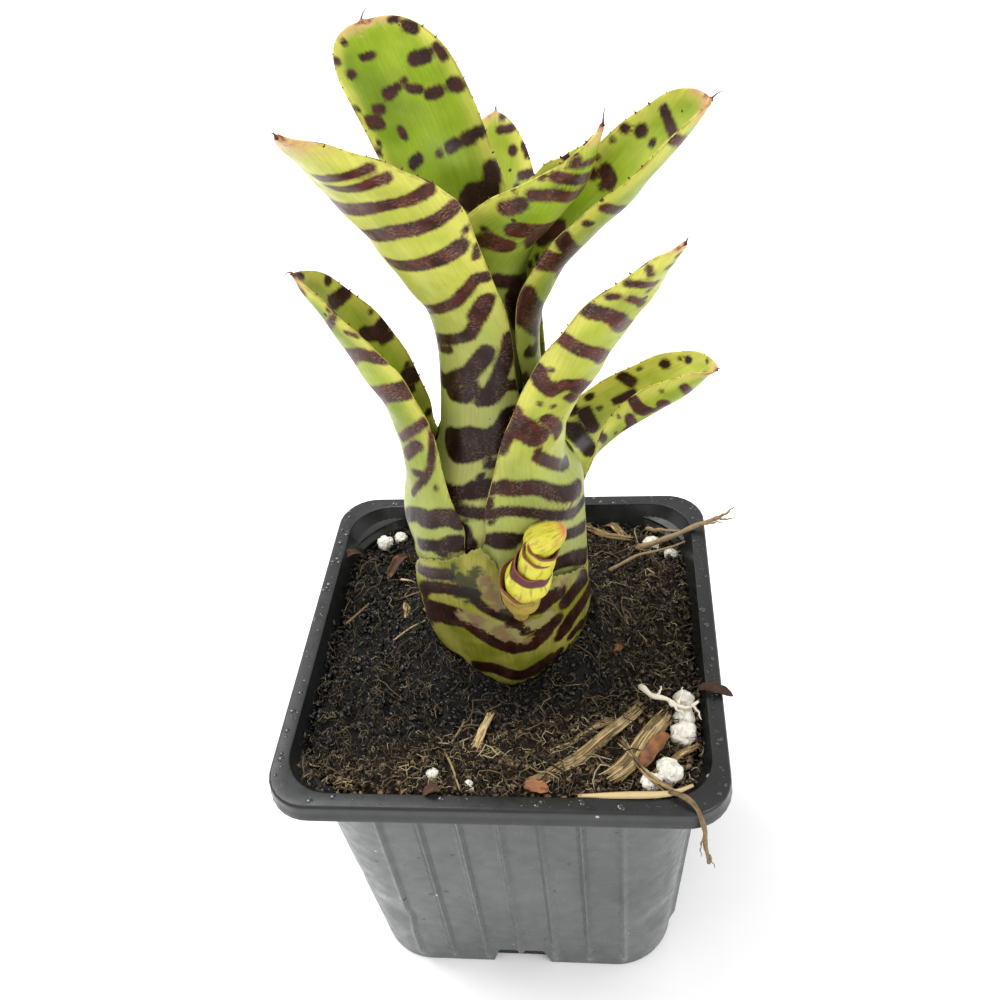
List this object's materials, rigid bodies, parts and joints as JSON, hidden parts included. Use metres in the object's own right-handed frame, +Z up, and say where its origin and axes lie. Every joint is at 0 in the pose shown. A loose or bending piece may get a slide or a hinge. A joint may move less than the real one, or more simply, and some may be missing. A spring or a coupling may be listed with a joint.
{
  "type": "potted banded bromeliad",
  "caption": "Young bromeliad with channelled, toothed leaves rising from a bulb of wrapped leaf bases, in a square nursery pot filled with growing mix.",
  "frame": {"origin": "centre of the pot's underside", "axes": "+Z up along the plant; the side shoot and the torn old leaf base face -Y; +X to the right"},
  "size_m": [0.0965, 0.09, 0.2035],
  "materials": {
    "pot": "satin moulded, dark grey",
    "mix": "moist compost with bark, fibre and perlite",
    "stem": "matte",
    "old_leaf": "satin, drying and scurfy",
    "leaf": "satin green with maroon cross bands",
    "shoot": "satin yellow with maroon edges"
  },
  "bodies": {
    "root": {"nursery_pot": "pot", "growing_mix": "mix", "stem_and_roots": "stem", "old_basal_sheath": "old_leaf", "leaf_right_lower": "leaf", "leaf_left_lower": "leaf", "leaf_right_front": "leaf", "leaf_back": "leaf", "leaf_left_front": "leaf", "leaf_right_upper": "leaf", "leaf_left_back": "leaf", "leaf_centre": "leaf", "offset_shoot": "shoot"}
  },
  "joints": []
}
